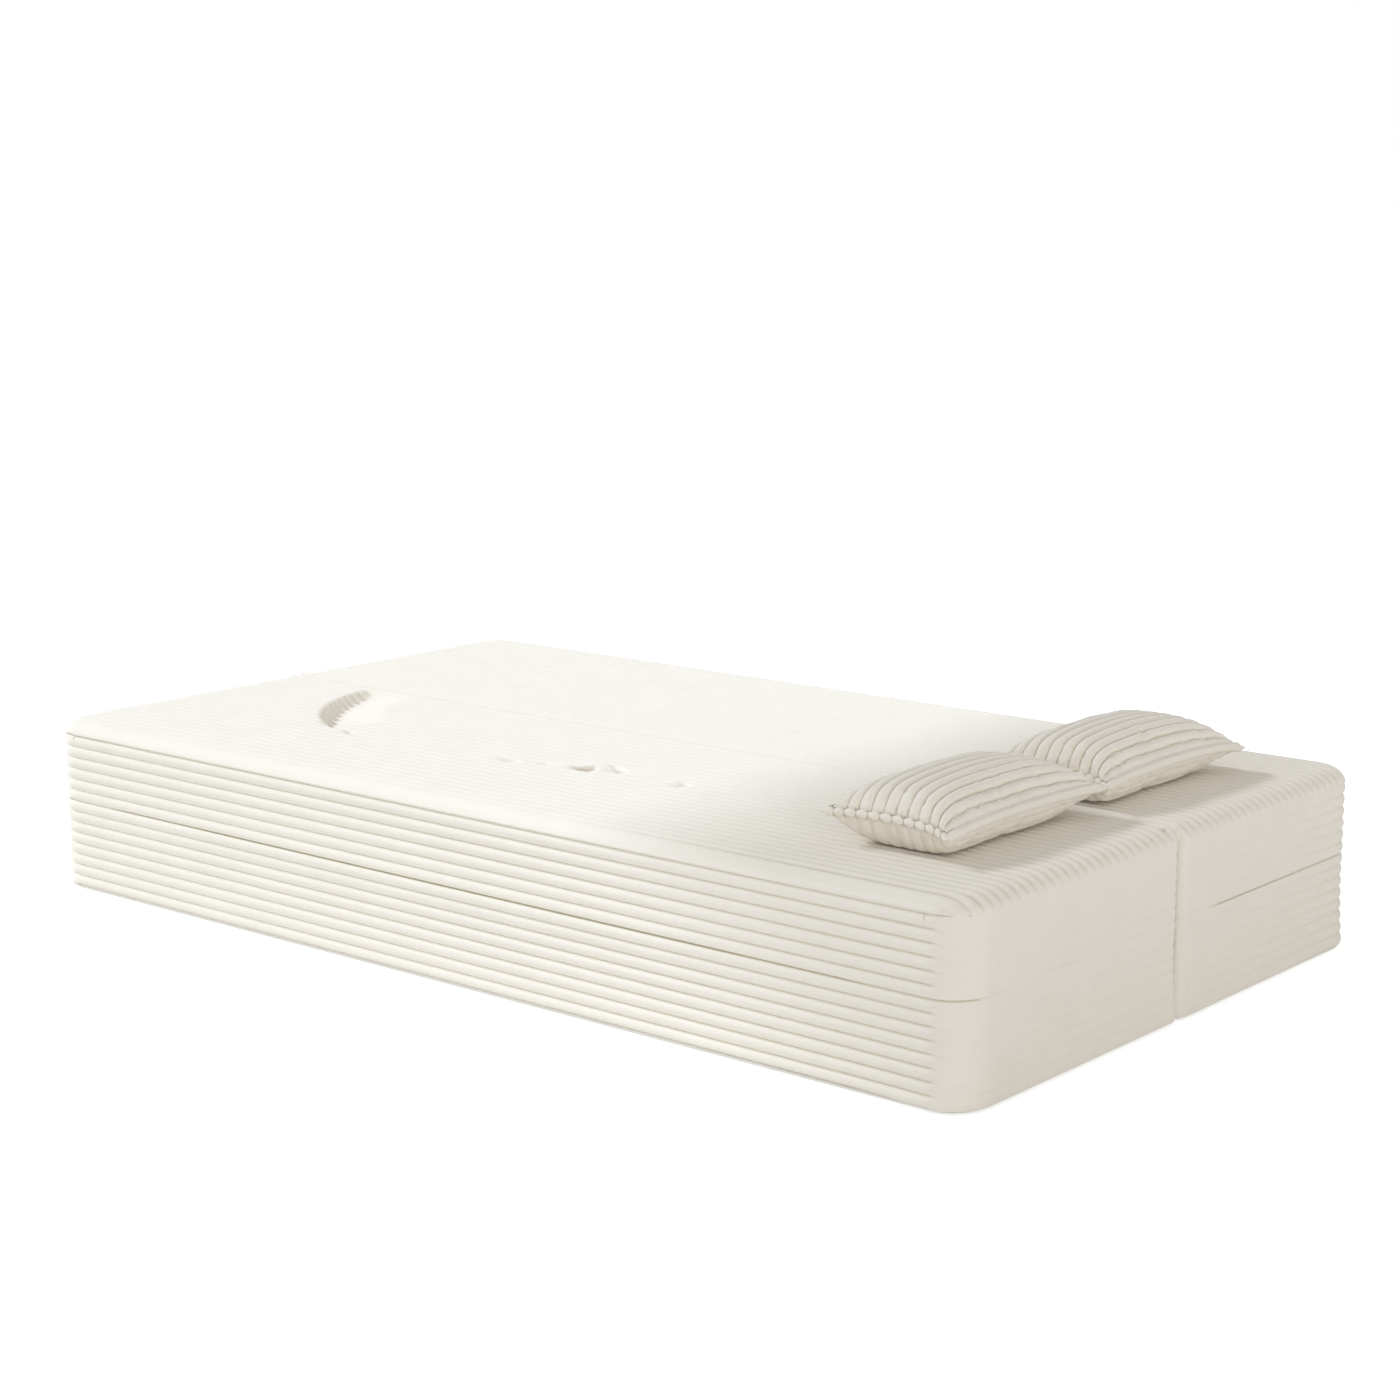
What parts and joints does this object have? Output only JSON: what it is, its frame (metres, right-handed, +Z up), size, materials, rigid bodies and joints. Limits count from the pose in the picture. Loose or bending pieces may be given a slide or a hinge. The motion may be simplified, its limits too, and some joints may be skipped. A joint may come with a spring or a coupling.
{
  "type": "floor sofa bed",
  "caption": "Low floor sofa bed of two long ribbed-plush foam stacks side by side, each a pair of hinged cushions that opens flat, with loose throw pillows.",
  "frame": {"origin": "middle of the footprint, at floor level", "axes": "+X along the length towards the head end, where the pillows lie; +Y from the front stack to the rear stack; +Z up"},
  "size_m": [1.98, 1.15, 0.4129],
  "materials": {
    "ribbed_plush": "matte",
    "grip_cloth": "matte",
    "foam": "matte",
    "fibre": "matte",
    "hinge_cloth": "matte",
    "zip_tape": "matte",
    "zip_metal": "satin",
    "hook_tape": "matte",
    "loop_tape": "matte"
  },
  "bodies": {
    "front_lower": {"front_lower_base_panel": "grip_cloth", "front_lower_side_band": "ribbed_plush", "front_lower_top_panel": "ribbed_plush", "front_lower_foam_core": "foam", "front_lower_zip_tape": "zip_tape", "front_hinge_strip": "hinge_cloth", "hook_pad_1": "hook_tape", "hook_pad_2": "hook_tape", "hook_pad_3": "hook_tape"},
    "front_upper": {"front_upper_base_panel": "ribbed_plush", "front_upper_side_band": "ribbed_plush", "front_upper_top_panel": "ribbed_plush", "front_upper_foam_core": "foam", "front_upper_zip_tape": "zip_tape"},
    "rear_lower": {"rear_lower_base_panel": "grip_cloth", "rear_lower_side_band": "ribbed_plush", "rear_lower_top_panel": "ribbed_plush", "rear_lower_foam_core": "foam", "rear_lower_zip_tape": "zip_tape", "rear_hinge_strip": "hinge_cloth", "loop_pad_1": "loop_tape", "loop_pad_2": "loop_tape", "loop_pad_3": "loop_tape"},
    "rear_upper": {"rear_upper_base_panel": "ribbed_plush", "rear_upper_side_band": "ribbed_plush", "rear_upper_top_panel": "ribbed_plush", "rear_upper_foam_core": "foam", "rear_upper_zip_tape": "zip_tape"},
    "front_pillow": {"front_pillow_top_panel": "ribbed_plush", "front_pillow_bottom_panel": "ribbed_plush", "front_pillow_filling": "fibre"},
    "rear_pillow": {"rear_pillow_top_panel": "ribbed_plush", "rear_pillow_bottom_panel": "ribbed_plush", "rear_pillow_filling": "fibre"},
    "front_lower_slider": {"front_lower_zip_slider": "zip_metal"},
    "front_upper_slider": {"front_upper_zip_slider": "zip_metal"},
    "rear_lower_slider": {"rear_lower_zip_slider": "zip_metal"},
    "rear_upper_slider": {"rear_upper_zip_slider": "zip_metal"}
  },
  "joints": [
    {"name": "front_fold", "type": "hinge", "parent": "front_lower", "child": "front_upper", "pos_m": [0, -0.5755, 0.1603], "axis": [1, 0, 0], "range_deg": [0, 180], "deforming": ["front_hinge_strip"]},
    {"name": "rear_fold", "type": "hinge", "parent": "rear_lower", "child": "rear_upper", "pos_m": [0, 0.5755, 0.1603], "axis": [-1, 0, 0], "range_deg": [0, 180], "deforming": ["rear_hinge_strip"]},
    {"name": "rear_stack_apart", "type": "slide", "parent": "front_lower", "child": "rear_lower", "axis": [0, 1, 0], "range_m": [0, 0.6]},
    {"name": "front_pillow_lift", "type": "slide", "parent": "front_upper", "child": "front_pillow", "axis": [0, 0, 1], "range_m": [0, 0.3]},
    {"name": "rear_pillow_lift", "type": "slide", "parent": "rear_upper", "child": "rear_pillow", "axis": [0, 0, 1], "range_m": [0, 0.3]},
    {"name": "front_lower_zip", "type": "slide", "parent": "front_lower", "child": "front_lower_slider", "axis": [0, 1, 0], "range_m": [0, 0.378]},
    {"name": "front_upper_zip", "type": "slide", "parent": "front_upper", "child": "front_upper_slider", "axis": [0, 1, 0], "range_m": [0, 0.378]},
    {"name": "rear_lower_zip", "type": "slide", "parent": "rear_lower", "child": "rear_lower_slider", "axis": [0, 1, 0], "range_m": [0, 0.378]},
    {"name": "rear_upper_zip", "type": "slide", "parent": "rear_upper", "child": "rear_upper_slider", "axis": [0, 1, 0], "range_m": [0, 0.378]}
  ]
}
